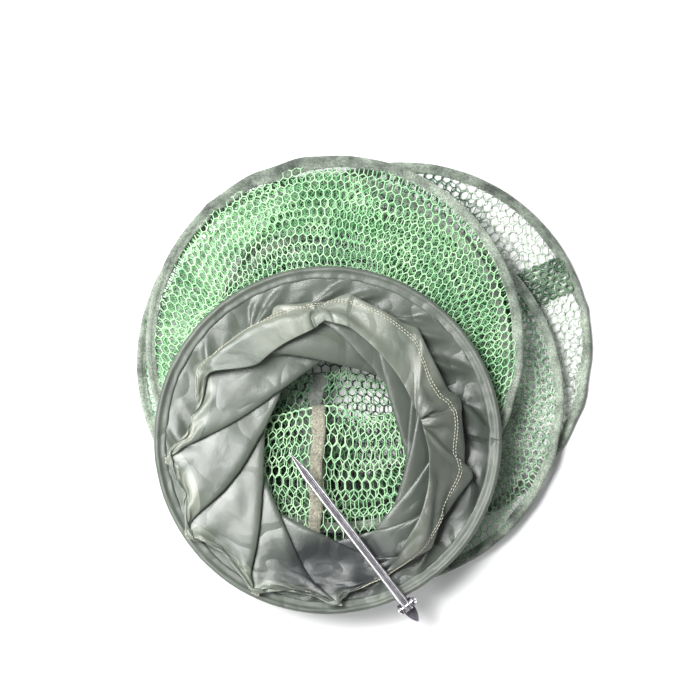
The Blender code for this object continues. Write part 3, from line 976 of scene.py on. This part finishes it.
def polished_channel(name):
    """Plated spike steel: bright ridges, and a darker groove between them, whose dark colour is painted
    shade.
    """
    made = Finish(name, 0.3, 1.0)
    none, full = (0.0, 0.0, 0.0), (1.0, 1.0, 1.0)
    across = made.part(made.flat_place(), "X")
    groove = made.ramp(across, ((0.0, none), (0.06, full), (0.46, full), (0.58, none)))
    streaks = made.noise(1.0, 5.0, 0.7, made.stretched((140.0, 140.0, 700.0)))
    bright = made.ramp(streaks, ((0.30, (0.62, 0.61, 0.64)), (0.62, (0.95, 0.94, 0.95))))
    # Painted shade: the groove is coloured darker than the ridges.
    groove_shade = made.ramp(streaks, ((0.30, (0.13, 0.12, 0.14)), (0.65, (0.33, 0.31, 0.35))))
    made.colour(made.mix(groove, bright, groove_shade))
    made.roughness(made.spread(made.noise(60.0, 4.0), 0.24, 0.40))
    made.bump(streaks, 0.15, 0.0003)
    return made.material


# ---- stage

def make_floor():
    """Pale floor under the trap, which is stage and not part of it."""
    mesh = bpy.data.meshes.new("floor")
    mesh.from_pydata([(-4, -4, 0), (4, -4, 0), (4, 4, 0), (-4, 4, 0)], [], [(0, 1, 2, 3)])
    made = Finish("pale_floor", 0.9)
    made.colour(made.ramp(made.noise(3.0), ((0.3, (0.86, 0.86, 0.86)), (0.7, (0.9, 0.9, 0.9)))))
    mesh.materials.append(made.material)
    add_object("floor", mesh)


def aim(thing, target):
    """Turns a camera or light at a point."""
    thing.rotation_euler = (Vector(target) - thing.location).to_track_quat("-Z", "Y").to_euler()


def make_camera():
    """Long lens, almost straight above."""
    data = bpy.data.cameras.new("camera")
    camera = add_object("camera", data)
    middle = Vector((-0.0526, -0.0029, 0.02))
    distance = 2.6
    tilt = math.radians(3.0)
    camera.location = middle + distance * Vector((0.0, -math.sin(tilt), math.cos(tilt)))
    aim(camera, middle)
    data.lens = data.sensor_width * distance / 0.67
    bpy.context.scene.camera = camera


def make_light(name, place, size, power):
    """Square light that faces the trap."""
    data = bpy.data.lights.new(name, "AREA")
    data.size = size
    data.energy = power
    light = add_object(name, data)
    light.location = place
    aim(light, (-0.05, 0.0, 0.0))


def make_studio():
    """A soft window from the upper left, a weak fill from the right and a sky darker on that side."""
    make_light("window", (-1.10, 0.50, 2.25), 1.1, 112.0)
    make_light("strip", (-1.25, -1.05, 1.55), 0.8, 16.0)
    make_light("fill", (1.5, -0.6, 2.0), 1.4, 6.0)
    world = bpy.data.worlds.new("studio")
    world.use_nodes = True
    nodes = world.node_tree.nodes
    place = nodes.new("ShaderNodeTexCoord")
    towards = nodes.new("ShaderNodeVectorMath")
    towards.operation = "DOT_PRODUCT"
    towards.inputs[1].default_value = Vector((-0.75, 0.35, 0.40)).normalized()
    ramp = nodes.new("ShaderNodeValToRGB")
    ramp.color_ramp.elements[0].position = 0.05
    ramp.color_ramp.elements[0].color = (0.10, 0.105, 0.115, 1.0)
    ramp.color_ramp.elements[1].position = 0.85
    ramp.color_ramp.elements[1].color = (1.0, 1.0, 1.0, 1.0)
    world.node_tree.links.new(place.outputs["Generated"], towards.inputs[0])
    world.node_tree.links.new(towards.outputs["Value"], ramp.inputs["Fac"])
    world.node_tree.links.new(ramp.outputs["Color"], nodes["Background"].inputs["Color"])
    nodes["Background"].inputs["Strength"].default_value = 0.60
    bpy.context.scene.world = world
    bpy.context.scene.view_settings.view_transform = "Standard"


# ---- the trap

def apron(front, reach, seed):
    """Fold tip that lies along a straight front on the near side, and goes inward by a reach elsewhere."""
    def tip(angle, middle, outward):
        inward = -outward * (reach + 0.015 * wobble(angle, seed))[:, None]
        near = smooth((-outward[:, 1] - 0.45) / 0.40)[:, None]
        forward = np.zeros_like(middle)
        forward[:, 1] = front - middle[:, 1] + 0.006 * wobble(angle, seed, 4, 9)
        forward[:, 0] = -0.10 * (middle[:, 0] - HOOPS["mouth"][0].x)
        return inward * (1.0 - near) + forward * near
    return tip


def doubled(bearing, half_width, amount):
    """Share of double folds about a bearing."""
    return lambda angle: amount * (1.0 - smooth((np.abs(away(angle, bearing)) - half_width) / 0.6))


def make_bays(tape, grey_tape):
    """The four bays and the bottom net, each folded and coloured in its own way; the darker colours are
    painted shade.
    """
    # Painted shade: these patches darken the netting under the mouth and about the middle hoop, where the
    # layers lie in shade.
    under_middle = HOOPS["middle"][0] + Vector((-0.030, 0.030, 0.0))
    deep = (under_middle, (0.222, 0.222), 0.06, 0.92, (0.040, 0.145, 0.065))
    under_mouth = HOOPS["mouth"][0] + Vector((0.0075, -0.0130, 0.0))
    dark = (under_mouth, (0.120, 0.120), 0.20, 0.97, (0.010, 0.034, 0.017))
    faint = (under_mouth, (0.105, 0.105), 0.25, 0.45, (0.010, 0.034, 0.017))
    # The bays share one netting: the darker copies for the lower layers and for the overlap strip are painted
    # shade.
    pale = netting("net_pale", (0.32, 0.62, 0.33), (0.55, 0.82, 0.50))
    fresh = netting("net_half_shaded", (0.12, 0.38, 0.15), (0.40, 0.72, 0.39), (faint,))
    middle = netting("net_middle", (0.11, 0.30, 0.14), (0.38, 0.64, 0.38), (dark,))
    grey = netting("net_grey", (0.42, 0.50, 0.42), (0.68, 0.76, 0.64), (deep, dark))
    strip = netting("net_strip", (0.06, 0.13, 0.07), (0.20, 0.32, 0.20))
    bays = (
        (Bay("bottom", "lower", apron(-0.075, 0.100, 1.0), doubled(200.0, 0.9, 0.6), 0.008), grey),
        (Bay("lower", "middle", apron(-0.070, 0.105, 2.0), doubled(110.0, 0.6, 0.6), 0.010), middle),
        (Bay("middle", "upper", apron(-0.028, 0.100, 3.0), doubled(140.0, 1.0, 1.0), 0.010), fresh),
        (Bay("upper", "mouth", apron(FOLD_FRONT, 0.065, 4.0), doubled(172.0, 0.25, 0.8), 0.008), pale),
    )
    for bay, thread in bays:
        make_bay(bay, thread)
        make_seam(bay, tape if bay.above == "mouth" else grey_tape)
    make_bottom_net(grey)
    make_net_overlap(strip)


def repaint(names, finish):
    """Gives CAD nodes a better material."""
    for name in names:
        for place in frame["nodes"][name].material_slots:
            place.material = finish


def finish_metal():
    """Better materials for the metal CAD nodes, and the spike."""
    wire = bright_metal("sprung_wire", (0.20, 0.20, 0.21), (0.45, 0.45, 0.46), 0.30, 0.50,
                        (80.0, 80.0, 900.0))
    crimp = bright_metal("crimped_zinc", (0.35, 0.35, 0.36), (0.60, 0.60, 0.60), 0.30, 0.50,
                         (200.0, 200.0, 60.0))
    bracket = bright_metal("dark_bracket", (0.07, 0.065, 0.08), (0.24, 0.22, 0.26), 0.25, 0.45,
                           (300.0, 90.0, 90.0))
    zinc = bright_metal("bolt_zinc", (0.55, 0.55, 0.57), (0.90, 0.90, 0.92), 0.14, 0.30,
                        (500.0, 500.0, 200.0))
    repaint([f"{level}_hoop_wire" for level in LEVELS], wire)
    repaint([f"{level}_hoop_ferrule" for level in LEVELS], crimp)
    make_spike(polished_channel("bright_spike"))
    repaint(["spike_bracket"], bracket)
    repaint(["pivot_bolt", "pivot_nut", "pivot_washer_left", "pivot_washer_right"], zinc)


def main():
    """Makes every piece, the light and the camera."""
    tape = woven_tape("binding_tape_weave", (0.050, 0.066, 0.052), (0.36, 0.42, 0.34))
    for level in LEVELS[:-1]:
        make_tape(level, tape)
    middle = HOOPS["mouth"][0]
    # Painted shade on the sleeve: a dark patch in the hollow below the mouth and a darker right side.
    shaded = (
        (middle + Vector((0.010, -0.118, 0.0)), (0.085, 0.042), 0.50, 0.90, (0.012, 0.015, 0.017)),
        (middle + Vector((0.130, -0.020, 0.0)), (0.115, 0.180), 0.80, 0.75, (0.024, 0.030, 0.025)),
    )
    shade, light = (0.066, 0.080, 0.064), (0.110, 0.127, 0.104)
    make_hem(nylon("hem_cloth", shade, light, (0.38, 0.52)))
    cloth = nylon("sleeve_cloth", shade, light, (0.24, 0.38), shaded)
    sleeve = Sleeve()
    points = sleeve.make(cloth)
    sleeve.make_stitches(points, stitching("stitch_thread"))
    beige = woven_tape("seam_tape_beige", (0.15, 0.15, 0.11), (0.42, 0.40, 0.31))
    make_bays(beige, woven_tape("seam_tape_grey", (0.07, 0.08, 0.07), (0.22, 0.24, 0.21)))
    finish_metal()
    make_floor()
    make_camera()
    make_studio()


main()
